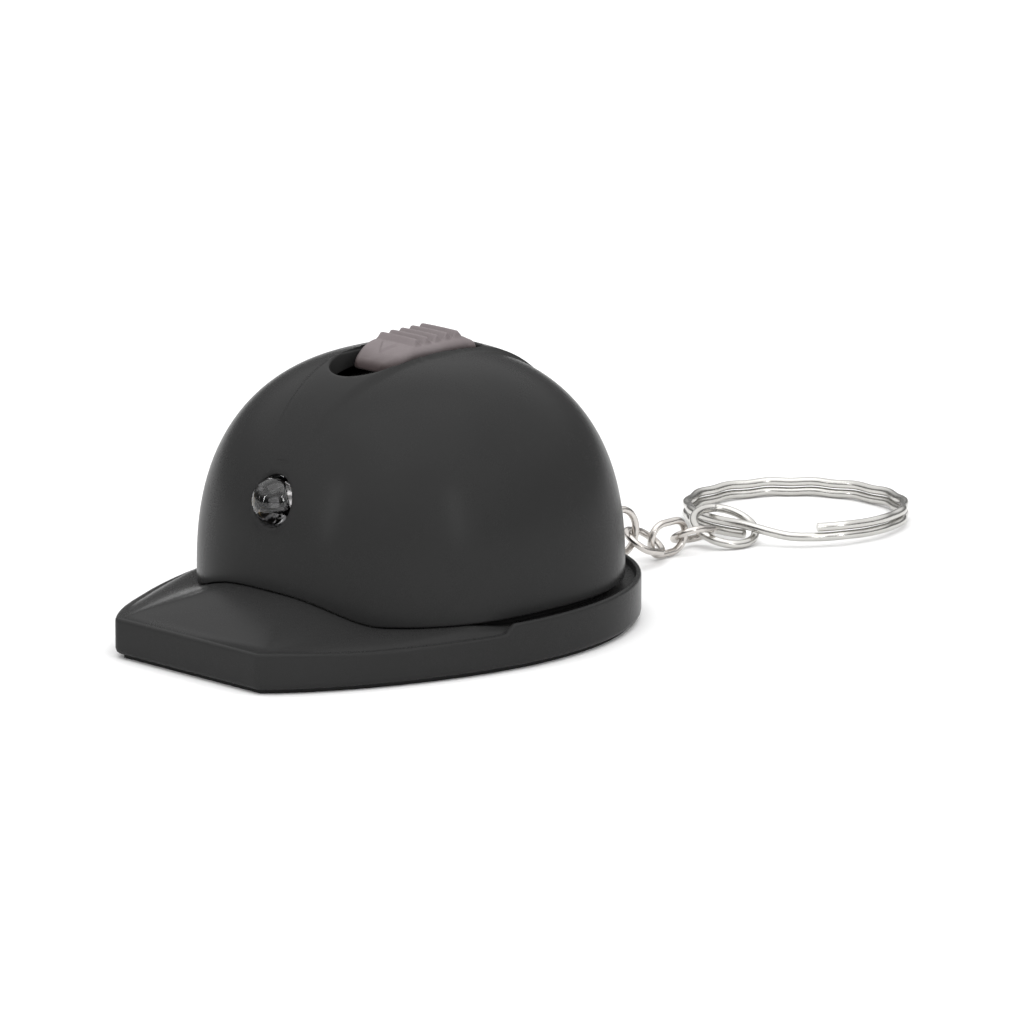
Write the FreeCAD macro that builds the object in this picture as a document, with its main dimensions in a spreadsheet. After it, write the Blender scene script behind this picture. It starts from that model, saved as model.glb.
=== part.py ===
import FreeCAD, Part
import math
import os
from FreeCAD import Placement, Rotation, Vector

# Key-ring light shaped like a safety helmet. +Z is up, the visor points along -Y and the
# chain leaves along +Y. The origin is on the dome's axis, on the base plate's underside.

doc = FreeCAD.newDocument("HelmetKeyLight")

SIZES = {
    # dome: a squarish oval in plan, straight at the foot and rounded to the top
    "dome_half_width": 21.0,
    "dome_front_reach": 21.8,
    "dome_rear_reach": 21.6,
    "plan_power": 2.45,
    "profile_power": 2.45,
    "dome_foot": 5.0,
    "dome_shoulder": 5.9,
    "dome_top": 29.9,
    "shell": 1.5,
    "foot_arch_rise": 2.3,
    "foot_arch_half": 14.0,
    "crest_rise": 0.4,
    "crest_half": 4.6,
    "crest_front": 19.0,
    "crest_rear": 15.7,
    # switch slot and the button in it
    "slot_half": 3.9,
    "slot_front": 10.4,
    "slot_rear": 7.2,
    "button_half": 3.45,
    "button_front": 6.5,
    "button_rear": 6.8,
    "button_floor": 28.5,
    "ridge_pitch": 1.5,
    "ridge_half": 2.85,
    "ridge_top": 31.45,
    # brim, with its plan outline shared by the base plate
    "brim_floor": 0.45,
    "brim_rim": 4.1,
    "brim_front_half": 10.8,
    "brim_front_reach": 32.9,
    "brim_half_width": 23.1,
    "brim_widest": 1.7,
    "brim_rear_reach": 24.8,
    "brim_rear_power": 2.2,
    "brim_flare_angle": 44.0,
    "brim_corner": 1.3,
    "lip_top": 5.05,
    "lip_wall": 0.6,
    "lip_start": 7.0,
    "neck_wall": 1.2,
    "neck_gap": 0.1,
    "neck_top": 8.5,
    "gutter_floor": 4.2,
    "plate_inset": 0.9,
    "plate_thick": 1.4,
    # rear lug for the chain
    "lug_hole_y": 29.0,
    "lug_hole": 0.9,
    "lug_half": 2.2,
    "lug_middle": 4.25,
    "lug_thick": 1.5,
    # light-emitting diode, 5 mm size
    "led_axis": 16.6,
    "led_dome_y": 19.9,
    "led_radius": 2.5,
    "led_flange_radius": 2.9,
    "led_flange_y": 14.8,
    "led_back_y": 13.8,
    "led_hole": 2.6,
    "lead_side": 0.5,
    "lead_offset": 1.27,
    # button cells lying along Y
    "cell_radius": 5.8,
    "cell_length": 5.4,
    "cell_axis": 9.0,
    "cap_radius": 4.9,
    "gasket_radius": 5.35,
    "metal": 0.25,
    # screws and the fixed plate under the switch
    "screw_radius": 0.9,
    "screw_head": 1.8,
    "bridge_screw": 0.8,
    "bridge_screw_x": 9.0,
    "bridge_top": 23.0,
    "leaf_top": 24.4,
    "leaf_dip": 0.8,
    "strip_width": 3.0,
    # chain
    "wire": 0.8,
    "first_ring": 2.55,
    "link_round": 1.8,
    "link_straight": 1.8,
    "jump_wire": 0.94,
    "jump_round": 3.5,
    "split_wire": 1.0,
    "split_round": 12.05,
    "split_pitch": 1.1,
}

sheet = doc.addObject("Spreadsheet::Sheet", "Sizes")
for row, (alias, value) in enumerate(SIZES.items(), start=1):
    sheet.set("A%d" % row, alias)
    sheet.set("B%d" % row, str(value))
    sheet.setAlias("B%d" % row, alias)
doc.recompute()


def size(alias):
    """The present value of one sheet cell, in millimetres."""
    return float(sheet.get(alias))


# ---------------------------------------------------------------- small helpers

def bind(thing, **expressions):
    """Bind properties of an object to the sheet, so that they follow its cells."""
    for name, expression in expressions.items():
        thing.setExpression(name, expression)
    return thing


def place(thing, x="0", y="0", z="0"):
    """Bind an object's position to the sheet."""
    thing.setExpression(".Placement.Base.x", x)
    thing.setExpression(".Placement.Base.y", y)
    thing.setExpression(".Placement.Base.z", z)
    return thing


def turned(thing, axis, angle):
    thing.Placement = Placement(Vector(), Rotation(axis, angle))
    return thing


def box(name, width, depth, height, x, y, z):
    """A block that starts at (x, y, z); every size and place is a sheet expression."""
    thing = doc.addObject("Part::Box", name)
    bind(thing, Length=width, Width=depth, Height=height)
    return place(thing, x, y, z)


def upright(name, radius, height, x="0", y="0", z="0"):
    """A cylinder standing along +Z from (x, y, z)."""
    thing = doc.addObject("Part::Cylinder", name)
    bind(thing, Radius=radius, Height=height)
    return place(thing, x, y, z)


def rearward(name, radius, length, x="0", y="0", z="0"):
    """A cylinder lying along +Y from (x, y, z)."""
    thing = turned(doc.addObject("Part::Cylinder", name), Vector(1, 0, 0), -90)
    bind(thing, Radius=radius, Height=length)
    return place(thing, x, y, z)


def fuse(name, *things):
    thing = doc.addObject("Part::MultiFuse", name)
    thing.Shapes = list(things)
    return thing


def cut(name, base, *tools):
    """Take the tools away from the base, joined first when there are several."""
    tool = tools[0] if len(tools) == 1 else fuse(name + "_tools", *tools)
    thing = doc.addObject("Part::Cut", name)
    thing.Base = base
    thing.Tool = tool
    return thing


def common(name, *things):
    thing = doc.addObject("Part::MultiCommon", name)
    thing.Shapes = list(things)
    return thing


def group(name, *things):
    thing = doc.addObject("Part::Compound", name)
    thing.Links = list(things)
    return thing


def solid(name, shape):
    """A free-form solid whose sizes were read from the sheet."""
    thing = doc.addObject("Part::Feature", name)
    thing.Shape = shape
    return thing


def origin_plane(body, role):
    return [plane for plane in body.Origin.OriginFeatures if plane.Role == role][0]


def profile_pad(body, name, points, length, midplane=True, role="YZ_Plane"):
    """Pad a closed polygon drawn on one of the body's origin planes."""
    sketch = body.newObject("Sketcher::SketchObject", name + "_sketch")
    sketch.AttachmentSupport = [(origin_plane(body, role), "")]
    sketch.MapMode = "FlatFace"
    corners = [Vector(u, v, 0) for u, v in points]
    for start, end in zip(corners, corners[1:] + corners[:1]):
        sketch.addGeometry(Part.LineSegment(start, end), False)
    pad = body.newObject("PartDesign::Pad", name)
    pad.Profile = sketch
    pad.Midplane = midplane
    pad.setExpression("Length", length)
    doc.recompute()
    return pad


FINISHED = []


def finished(thing, label):
    """Give a sub-part the label that names its file."""
    thing.Label = label
    FINISHED.append(thing)
    return thing


# ---------------------------------------------------------------- helmet outlines

def signed_power(value, power):
    return math.copysign(abs(value) ** power, value)


def oval_point(half_width, front, rear, turn):
    """One point of a squarish oval; turn runs from +X (0) over +Y (0.25) and back (1)."""
    power = 2 / size("plan_power")
    angle = 2 * math.pi * turn
    reach = rear if math.sin(angle) > 0 else front
    return (half_width * signed_power(math.cos(angle), power),
            reach * signed_power(math.sin(angle), power))


def smooth_edge(points):
    curve = Part.BSplineCurve()
    curve.interpolate([Vector(*point) for point in points])
    return curve.toShape()


def oval_wire(half_width, front, rear, level):
    steps = 48
    turns = [step / steps for step in range(steps)]
    curve = Part.BSplineCurve()
    curve.interpolate([Vector(*oval_point(half_width, front, rear, turn), level) for turn in turns],
                      PeriodicFlag=True)
    return Part.Wire([curve.toShape()])


def dome_solid(inset, rise=0.0):
    """The dome inside a wall of the given thickness; rise lifts its top."""
    half = size("dome_half_width") - inset
    front = size("dome_front_reach") - inset
    rear = size("dome_rear_reach") - inset
    shoulder = size("dome_shoulder")
    height = size("dome_top") - inset + rise - shoulder
    power = 2 / size("profile_power")
    wires = [oval_wire(half, front, rear, size("dome_foot"))]
    steps = 14
    almost_top = 0.97
    for step in range(steps):
        angle = 0.5 * math.pi * almost_top * step / (steps - 1)
        scale = math.cos(angle) ** power
        level = shoulder + height * math.sin(angle) ** power
        wires.append(oval_wire(half * scale, front * scale, rear * scale, level))
    return Part.makeLoft(wires, True, False)


def arch(x):
    """Rise of the dome's foot over the visor, at distance x from the middle."""
    share = min(abs(x) / size("foot_arch_half"), 1.0)
    return size("foot_arch_rise") * (1 - share ** 3) ** 2


def neck_sizes(inset):
    gap = size("shell") + size("neck_gap") + inset
    return (size("dome_half_width") - gap, size("dome_front_reach") - gap,
            size("dome_rear_reach") - gap)


def skirt_level(x, y):
    """Height at which the brim's top meets the neck: arched in front, low in the gutter."""
    front_level = size("dome_foot") + arch(x)
    blend = min(max((y + 11.0) / 7.0, 0.0), 1.0)
    blend = blend * blend * (3 - 2 * blend)
    return front_level + (size("gutter_floor") - front_level) * blend


def neck_edges(inset, level):
    """The neck's oval, split to match the brim's outline; level may be a function."""
    front = 0.75
    line = 0.055
    corner = 0.08
    turns = [front - line, front + line, front + corner, 1.0, 1.5, 1 + front - corner, 1 + front - line]
    edges = []
    for first, last in zip(turns, turns[1:]):
        steps = 16
        points = []
        for step in range(steps + 1):
            x, y = oval_point(*neck_sizes(inset), first + (last - first) * step / steps)
            points.append((x, y, level(x, y) if callable(level) else level))
        edges.append(smooth_edge(points))
    return edges


def brim_edges(level, inset=0.0):
    """The brim's outline drawn in by inset: front line, corner, side, rear, side, corner."""
    flare = math.radians(size("brim_flare_angle"))
    mitre = (1 - math.sin(flare)) / math.cos(flare)
    radius = size("brim_corner") - inset
    half = size("brim_front_half") - inset * mitre
    front = size("brim_front_reach") - inset
    wide = size("brim_half_width") - inset
    waist = -size("brim_widest")
    rear = size("brim_rear_reach") - inset
    power = 2 / size("brim_rear_power")
    handle = 0.31 * (front + waist)
    cut_back = radius * mitre
    side_start = (half + cut_back * math.sin(flare), cut_back * math.cos(flare) - front)

    def corner(sign):
        angles = [-0.5 * math.pi, -0.25 * math.pi - 0.5 * flare, -flare]
        if sign < 0:
            angles.reverse()
        points = [Vector(sign * (half - cut_back + radius * math.cos(angle)),
                         radius - front + radius * math.sin(angle), level) for angle in angles]
        return Part.Arc(*points).toShape()

    def side(sign):
        poles = [side_start, (half + handle * math.sin(flare), handle * math.cos(flare) - front),
                 (wide, waist - handle), (wide, waist)]
        if sign < 0:
            poles.reverse()
        curve = Part.BezierCurve()
        curve.setPoles([Vector(sign * x, y, level) for x, y in poles])
        return curve.toShape()

    steps = 48
    arc = []
    for step in range(steps + 1):
        angle = math.pi * step / steps
        arc.append(Vector(wide * signed_power(math.cos(angle), power),
                          waist + (rear - waist) * signed_power(math.sin(angle), power), level))
    back = Part.BSplineCurve()
    back.interpolate(arc, InitialTangent=Vector(0, 1, 0), FinalTangent=Vector(0, -1, 0))
    line = Part.LineSegment(Vector(cut_back - half, -front, level), Vector(half - cut_back, -front, level))
    return [line.toShape(), corner(1), side(1), back.toShape(), side(-1), corner(-1)]


def brim_slab(inset, bottom, top):
    """A flat slab with the brim's outline drawn in by inset."""
    return Part.Face(Part.Wire(brim_edges(bottom, inset))).extrude(Vector(0, 0, top - bottom))


def ruled_solid(levels):
    """A closed solid from rings of matching edges, the first and last of them flat."""
    faces = [Part.Face(Part.Wire(levels[0])), Part.Face(Part.Wire(levels[-1]))]
    for lower, upper in zip(levels, levels[1:]):
        for low_edge, high_edge in zip(lower, upper):
            faces.append(Part.makeRuledSurface(low_edge, high_edge))
    shell = Part.makeShell(faces)
    shell.sewShape()
    result = Part.makeSolid(shell)
    if result.Volume < 0:
        result.reverse()
    return result


# ---------------------------------------------------------------- helmet

def make_dome_shell():
    outer = solid("dome_outer", dome_solid(0))
    raised = solid("dome_raised", dome_solid(0, size("crest_rise")))
    band = box("crest_band", "2 * Sizes.crest_half", "Sizes.crest_front + Sizes.crest_rear", "14",
               "-Sizes.crest_half", "-Sizes.crest_front", "20")
    crest = common("crest", raised, band)
    skin = fuse("dome_skin", outer, crest)
    inner = solid("dome_inner", dome_solid(size("shell")))

    half = size("foot_arch_half")
    steps = 24
    foot = size("dome_foot")
    top = [(half * (2 * step / steps - 1), 0) for step in range(steps + 1)]
    curve = smooth_edge([(x, -30, foot + arch(x)) for x, _ in top])
    base = Part.LineSegment(Vector(half, -30, foot), Vector(-half, -30, foot)).toShape()
    under = Part.Face(Part.Wire([curve, base])).extrude(Vector(0, 20, 0))
    foot_arch = solid("foot_arch", under)

    nose = upright("slot_nose", "Sizes.slot_half", "20", "0", "Sizes.slot_half - Sizes.slot_front",
                   "20")
    run = box("slot_run", "2 * Sizes.slot_half", "Sizes.slot_front - Sizes.slot_half + Sizes.slot_rear",
              "20", "-Sizes.slot_half", "Sizes.slot_half - Sizes.slot_front", "20")
    walls = cut("dome_walls", skin, inner, foot_arch, nose, run)

    lining = solid("dome_lining", dome_solid(0.5 * size("shell")))
    pillars = []
    sockets = []
    for number, (x, y) in enumerate(BASE_SCREWS, start=1):
        pillars.append(upright("pillar_%d" % number, "2.2", "9", "%s" % x, "%s" % y,
                               "Sizes.plate_thick"))
        tall = upright("pillar_top_%d" % number, "2.2", "20", "%s" % x, "%s" % y, "10")
        pillars.append(common("pillar_rise_%d" % number, tall, lining))
        sockets.append(upright("pillar_bore_%d" % number, "Sizes.screw_radius", "7", "%s" % x,
                               "%s" % y, "Sizes.plate_thick"))
    for side in (-1, 1):
        x = "%s * Sizes.bridge_screw_x" % side
        post = upright("bridge_post_%d" % (side + 1), "2", "6", x, "0", "Sizes.bridge_top")
        pillars.append(common("bridge_boss_%d" % (side + 1), post, lining))
        sockets.append(upright("bridge_bore_%d" % (side + 1), "Sizes.bridge_screw", "2.6", x, "0",
                               "Sizes.bridge_top"))
    sleeve = rearward("lamp_sleeve", "4.2", "10", "0", "-Sizes.led_flange_y - 10",
                      "Sizes.led_axis")
    pillars.append(common("lamp_seat", sleeve, lining))
    whole = fuse("dome_whole", walls, *pillars)

    bore = rearward("lamp_bore", "Sizes.led_hole", "14", "0", "-26", "Sizes.led_axis")
    flare = turned(doc.addObject("Part::Cone", "lamp_flare"), Vector(1, 0, 0), -90)
    bind(flare, Radius1="Sizes.led_hole + 1.4", Radius2="Sizes.led_hole", Height="2")
    place(flare, "0", "-Sizes.led_dome_y - 2", "Sizes.led_axis")
    finished(cut("dome", whole, bore, flare, *sockets), "dome_shell")


def make_brim():
    body = ruled_solid([brim_edges(size("brim_floor")), brim_edges(size("brim_rim")),
                        neck_edges(0, skirt_level), neck_edges(0, size("neck_top"))])
    slope = solid("brim_slope", body)
    lip_outer = brim_slab(0, size("brim_rim") - 1, size("lip_top"))
    lip_inner = brim_slab(size("lip_wall"), size("brim_rim") - 2, size("lip_top") + 1)
    ring = solid("lip_ring", lip_outer.cut(lip_inner))
    rear_half = box("lip_span", "60", "40", "10", "-30", "-Sizes.lip_start", "0")
    lip = common("rear_lip", ring, rear_half)
    tab = box("lug_tab", "2 * Sizes.lug_half", "Sizes.lug_hole_y - Sizes.brim_rear_reach + 0.4",
              "Sizes.lug_thick", "-Sizes.lug_half", "Sizes.brim_rear_reach - 0.4",
              "Sizes.lug_middle - Sizes.lug_thick / 2")
    end = upright("lug_end", "Sizes.lug_half", "Sizes.lug_thick", "0", "Sizes.lug_hole_y",
                  "Sizes.lug_middle - Sizes.lug_thick / 2")
    whole = fuse("brim_whole", slope, lip, tab, end)

    recess = solid("plate_recess", brim_slab(size("plate_inset") - 0.1, -1, size("plate_thick")))
    opening = Part.Face(Part.Wire(neck_edges(size("neck_wall"), 0)))
    mouth = solid("neck_mouth", opening.extrude(Vector(0, 0, 20)))
    hole = upright("lug_hole", "Sizes.lug_hole", "6", "0", "Sizes.lug_hole_y", "2")
    finished(cut("brim", whole, recess, mouth, hole), "brim")


def countersink(name, x, y):
    """A screw hole through the base plate with its countersink on the underside."""
    hole = upright(name + "_hole", "Sizes.screw_radius + 0.1", "4", x, y, "-1")
    sink = doc.addObject("Part::Cone", name + "_sink")
    bind(sink, Radius1="Sizes.screw_head + 0.15", Radius2="Sizes.screw_radius + 0.1",
         Height="0.95")
    return [hole, place(sink, x, y, "0")]


def make_base_plate():
    slab = solid("plate_slab", brim_slab(size("plate_inset"), 0, size("plate_thick")))
    tools = []
    for number, (x, y) in enumerate(BASE_SCREWS + CRADLE_SCREWS, start=1):
        tools += countersink("plate_%d" % number, "%s" % x, "%s" % y)
    finished(cut("plate", slab, *tools), "base_plate")


def screw(name, x, y, length):
    """A countersunk cross-recess screw driven upwards from the base plate."""
    head = doc.addObject("Part::Cone", name + "_head")
    bind(head, Radius1="Sizes.screw_head", Radius2="Sizes.screw_radius", Height="0.8")
    place(head, x, y, "0.05")
    shank = upright(name + "_shank", "Sizes.screw_radius", length, x, y, "0.05")
    whole = fuse(name + "_whole", head, shank)
    recesses = [box(name + "_recess_x", "2", "0.4", "0.5", x + " - 1", y + " - 0.2", "0"),
                box(name + "_recess_y", "0.4", "2", "0.5", x + " - 0.2", y + " - 1", "0")]
    return cut(name, whole, *recesses)


def make_screws():
    for label, places, length in (("base_screws", BASE_SCREWS, "7.5"),
                                  ("cradle_screws", CRADLE_SCREWS, "3.8")):
        screws = [screw("%s_%d" % (label, number), "%s" % x, "%s" % y, length)
                  for number, (x, y) in enumerate(places, start=1)]
        finished(group(label + "_group", *screws), label)


# ---------------------------------------------------------------- switch

def edges_at(shape, y):
    """Names of the upright corner edges at one y."""
    names = []
    for number, edge in enumerate(shape.Edges, start=1):
        ends = edge.Vertexes
        if all(abs(end.Point.y - y) < 1e-6 for end in ends) and abs(ends[0].Z - ends[-1].Z) > 0.3:
            if abs(ends[0].X - ends[-1].X) < 1e-6:
                names.append("Edge%d" % number)
    return names


def make_button():
    """Slide button: a rounded nose, a ramp with an arrow, and ridges to push against."""
    body = doc.addObject("PartDesign::Body", "button")
    floor = size("button_floor")
    front = -size("button_front")
    rear = size("button_rear")
    pitch = size("ridge_pitch")
    top = size("ridge_top")
    valley = top - 0.6
    first = -1.8
    last = first + 4 * pitch
    outline = [(front, floor), (rear, floor), (rear, valley - 0.7), (last + 1.0, valley),
               (first - 0.7, valley), (front + 0.9, valley - 0.9), (front, valley - 1.5)]
    pad = profile_pad(body, "button_block", outline, "2 * Sizes.button_half")
    ridges = [(last + 0.7, valley - 0.3), (first - 0.7, valley - 0.3)]
    for number in range(5):
        middle = first + number * pitch
        ridges += [(middle - 0.65, valley), (middle - 0.1, top), (middle + 0.1, top),
                   (middle + 0.65, valley)]
    profile_pad(body, "button_ridges", ridges, "2 * Sizes.ridge_half")
    rounded = body.newObject("PartDesign::Fillet", "button_nose")
    rounded.Base = (body.getObject("button_ridges"), edges_at(body.getObject("button_ridges").Shape, front))
    rounded.Radius = 2.6
    doc.recompute()
    tail = body.newObject("PartDesign::Fillet", "button_tail")
    tail.Base = (rounded, edges_at(rounded.Shape, rear))
    tail.Radius = 0.8
    body.Tip = tail
    finished(body, "switch_button")


def make_carrier():
    """Plate wider than the slot that keeps the button from lifting out."""
    plate = box("carrier_plate", "10", "13.6", "1.4", "-5", "-6", "Sizes.leaf_top")
    shoulder = box("carrier_shoulder", "10", "9.5", "1", "-5", "-4", "Sizes.leaf_top + 1.4")
    stem = box("carrier_stem", "4.8", "8.5", "Sizes.button_floor - Sizes.leaf_top", "-2.4",
               "-3.5", "Sizes.leaf_top")
    finished(fuse("carrier", plate, shoulder, stem), "switch_carrier")


def make_leaf():
    """Sprung leaf with two dips, one for each fixed strip when the switch is on."""
    top = size("leaf_top")
    metal = size("metal")
    dip = size("leaf_dip")
    line = [(-2.5, top), (0.3, top), (1.5, top - dip), (2.7, top), (3.3, top), (4.5, top - dip),
            (5.7, top), (6.5, top)]
    under = [(y, z - metal) for y, z in reversed(line)]
    body = doc.addObject("PartDesign::Body", "leaf")
    profile_pad(body, "leaf_band", line + under, "Sizes.strip_width")
    finished(body, "switch_contact")


def make_bridge():
    """Fixed plate under the switch, screwed to the dome, that carries the strips."""
    plate = box("bridge_plate", "12", "20.3", "1.4", "-6", "-10.15",
                "Sizes.bridge_top - 1.4")
    arms = box("bridge_arms", "22", "5", "1.4", "-11", "-2.5", "Sizes.bridge_top - 1.4")
    holes = [upright("arm_hole_%d" % (side + 1), "Sizes.bridge_screw + 0.1", "4",
                     "%s * Sizes.bridge_screw_x" % side, "0", "Sizes.bridge_top - 3")
             for side in (-1, 1)]
    finished(cut("bridge", fuse("bridge_cross", plate, arms), *holes), "switch_bridge")

    screws = []
    for side in (-1, 1):
        x = "%s * Sizes.bridge_screw_x" % side
        head = upright("arm_screw_head_%d" % (side + 1), "1.5", "0.8", x, "0",
                       "Sizes.bridge_top - 2.2")
        shank = upright("arm_screw_shank_%d" % (side + 1), "Sizes.bridge_screw", "4.2", x, "0",
                        "Sizes.bridge_top - 2.2")
        screws.append(fuse("arm_screw_%d" % (side + 1), head, shank))
    finished(group("arm_screws", *screws), "bridge_screws")


def make_strips():
    """Fixed strips on the bridge; each turns down at its outer end."""
    metal = size("metal")
    top = size("bridge_top")
    for label, side, foot in (("contact_strip_front", -1, 17.6), ("contact_strip_rear", 1, 13.8)):
        end = 10.15 + metal
        line = [(side * 1.0, top), (side * 1.0, top + metal), (side * end, top + metal),
                (side * end, foot), (side * (end - metal), foot), (side * (end - metal), top)]
        body = doc.addObject("PartDesign::Body", label + "_body")
        profile_pad(body, label + "_bend", line, "Sizes.strip_width")
        finished(body, label)


# ---------------------------------------------------------------- lamp

def make_lamp():
    """5 mm diode: clear body with its two leads, reflector cup and chip inside."""
    axis = size("led_axis")
    side = size("lead_side")
    offset = size("lead_offset")

    post_level = axis - offset - side / 2
    post = doc.addObject("PartDesign::Body", "post")
    profile_pad(post, "post_bar", [(-17.4, post_level - 0.3), (-15.9, post_level - 0.3), (-15.4, post_level),
                                   (-8.6, post_level), (-8.6, post_level + side),
                                   (-17.4, post_level + side)], "Sizes.lead_side")
    finished(post, "led_post_lead")

    anvil_level = axis + offset - side / 2
    bar = doc.addObject("PartDesign::Body", "anvil_bar_body")
    profile_pad(bar, "anvil_bar", [(-17.6, axis - 0.5), (-16.4, axis - 0.5), (-15.4, anvil_level),
                                   (-10.4, anvil_level), (-10.4, anvil_level + side),
                                   (-17.6, anvil_level + side)], "Sizes.lead_side")
    cup = rearward("cup_block", "0.95", "0.8", "0", "-18.4", "Sizes.led_axis")
    hollow = turned(doc.addObject("Part::Cone", "cup_hollow"), Vector(1, 0, 0), -90)
    bind(hollow, Radius1="0.8", Radius2="0.45", Height="0.5")
    place(hollow, "0", "-18.4", "Sizes.led_axis")
    anvil = cut("anvil", fuse("anvil_block", bar, cup), hollow)
    finished(anvil, "led_anvil_lead")

    chip = box("chip", "0.34", "0.2", "0.34", "-0.17", "-18.1", "Sizes.led_axis - 0.17")
    finished(chip, "led_chip")

    bulb = doc.addObject("Part::Sphere", "bulb")
    bind(bulb, Radius="Sizes.led_radius")
    place(bulb, "0", "-Sizes.led_dome_y", "Sizes.led_axis")
    barrel = rearward("barrel", "Sizes.led_radius", "Sizes.led_dome_y - Sizes.led_back_y", "0",
                      "-Sizes.led_dome_y", "Sizes.led_axis")
    flange = rearward("flange", "Sizes.led_flange_radius", "Sizes.led_flange_y - Sizes.led_back_y", "0",
                      "-Sizes.led_flange_y", "Sizes.led_axis")
    flat = box("flange_flat", "6", "2", "1", "-3", "-Sizes.led_flange_y - 0.5",
               "Sizes.led_axis + Sizes.led_radius")
    epoxy = cut("epoxy", fuse("epoxy_block", bulb, barrel, flange), flat, post, anvil, chip)
    finished(epoxy, "led_lens")


# ---------------------------------------------------------------- cells and cradle

def make_cells():
    """Three button cells in a row along Y, positive cans to the front."""
    gaskets = []
    for number, name in enumerate(("front", "middle", "rear")):
        first = "%s * Sizes.cell_length" % (number - 1.5)
        can = rearward(name + "_can", "Sizes.cell_radius", "Sizes.cell_length - 0.25", "0", first,
                       "Sizes.cell_axis")
        well = rearward(name + "_well", "Sizes.gasket_radius", "3", "0",
                        first + " + Sizes.cell_length - 1.25", "Sizes.cell_axis")
        finished(cut(name + "_cup", can, well), "cell_can_" + name)
        cap = rearward(name + "_cap", "Sizes.cap_radius", "1.25", "0",
                       first + " + Sizes.cell_length - 1.25", "Sizes.cell_axis")
        finished(cap, "cell_cap_" + name)
        ring = rearward(name + "_ring", "Sizes.gasket_radius", "1.05", "0",
                        first + " + Sizes.cell_length - 1.25", "Sizes.cell_axis")
        gaskets.append(cut(name + "_gasket", ring, cap))
    finished(group("gaskets", *gaskets), "cell_gaskets")


def make_cradle():
    block = box("cradle_block", "14.8", "21", "Sizes.cell_axis - Sizes.plate_thick", "-7.4",
                "-9.6", "Sizes.plate_thick")
    ears = [box("cradle_ear_%d" % number, "6.4", "5.9", "3", "-3.2", start, "Sizes.plate_thick")
            for number, start in enumerate(("-15.5", "11.4"))]
    trough = rearward("trough", "Sizes.cell_radius + 0.05", "18.5", "0", "-8.35", "Sizes.cell_axis")
    bores = [upright("ear_bore_%d" % number, "Sizes.screw_radius", "8", "%s" % x, "%s" % y, "0")
             for number, (x, y) in enumerate(CRADLE_SCREWS)]
    finished(cut("cradle", fuse("cradle_block_ears", block, *ears), trough, *bores), "battery_cradle")


def make_contacts():
    """Plates at the two ends of the cell stack; the rear one has a bowed finger."""
    metal = size("metal")
    front = -8.35
    positive = doc.addObject("PartDesign::Body", "positive")
    profile_pad(positive, "positive_plate", [(front, 4.0), (front + metal, 4.0), (front + metal, 15.6),
                                             (front, 15.6)], "6")
    finished(positive, "positive_contact")

    rear = 9.9
    cap = 8.1
    negative = doc.addObject("PartDesign::Body", "negative")
    profile_pad(negative, "negative_plate", [(rear, 4.0), (rear + metal, 4.0), (rear + metal, 15.5),
                                             (rear, 15.5)], "6")
    profile_pad(negative, "negative_finger",
                [(rear + 0.1, 5.5), (cap, 8.2), (cap, 9.8), (rear + 0.1, 12.5), (rear + 0.1, 12.05),
                 (cap + metal, 9.7), (cap + metal, 8.3), (rear + 0.1, 5.95)], "3")
    negative.Tip = negative.getObject("negative_finger")
    finished(negative, "negative_contact")


# ---------------------------------------------------------------- chain

def aimed(thing, centre, heading, dip, roll):
    """Put a ring's centre somewhere and turn it, in degrees.

    It starts flat with its length along +Y, rolls about its length, dips its far end,
    and then heads off to the left, seen from above.
    """
    lengthwise = Rotation(Vector(0, 0, 1), 90)
    rolled = Rotation(Vector(0, 1, 0), roll)
    dipped = Rotation(Vector(1, 0, 0), -dip)
    headed = Rotation(Vector(0, 0, 1), heading)
    thing.Placement = Placement(Vector(*centre), headed * dipped * rolled * lengthwise)
    return thing


def ring(name, radius, wire):
    thing = doc.addObject("Part::Torus", name)
    return bind(thing, Radius1=radius, Radius2=wire + " / 2")


def make_chain():
    first = ring("first_ring", "Sizes.first_ring", "Sizes.wire")
    finished(aimed(first, *CHAIN["chain_link_a"]), "chain_link_a")

    for label in ("chain_link_b", "chain_link_c", "chain_link_d"):
        parts = []
        for side in (-1, 1):
            bend = ring("%s_bend_%d" % (label, side + 1), "Sizes.link_round", "Sizes.wire")
            bend.Angle3 = 180
            bend.Placement = Placement(Vector(), Rotation(Vector(0, 0, 1), -90 * side))
            bend.setExpression(".Placement.Base.x", "%d * Sizes.link_straight / 2" % side)
            bar = turned(doc.addObject("Part::Cylinder", "%s_bar_%d" % (label, side + 1)),
                         Vector(0, 1, 0), 90)
            bind(bar, Radius="Sizes.wire / 2", Height="Sizes.link_straight")
            place(bar, "-Sizes.link_straight / 2", "%d * Sizes.link_round" % side, "0")
            parts += [bend, bar]
        finished(aimed(fuse(label + "_wire", *parts), *CHAIN[label]), label)

    hoop = ring("jump_hoop", "Sizes.jump_round", "Sizes.jump_wire")
    seam = box("jump_seam", "0.12", "3", "3", "-0.06", "Sizes.jump_round - 1.5", "-1.5")
    finished(aimed(cut("jump", hoop, seam), *CHAIN["jump_ring"]), "jump_ring")


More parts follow.
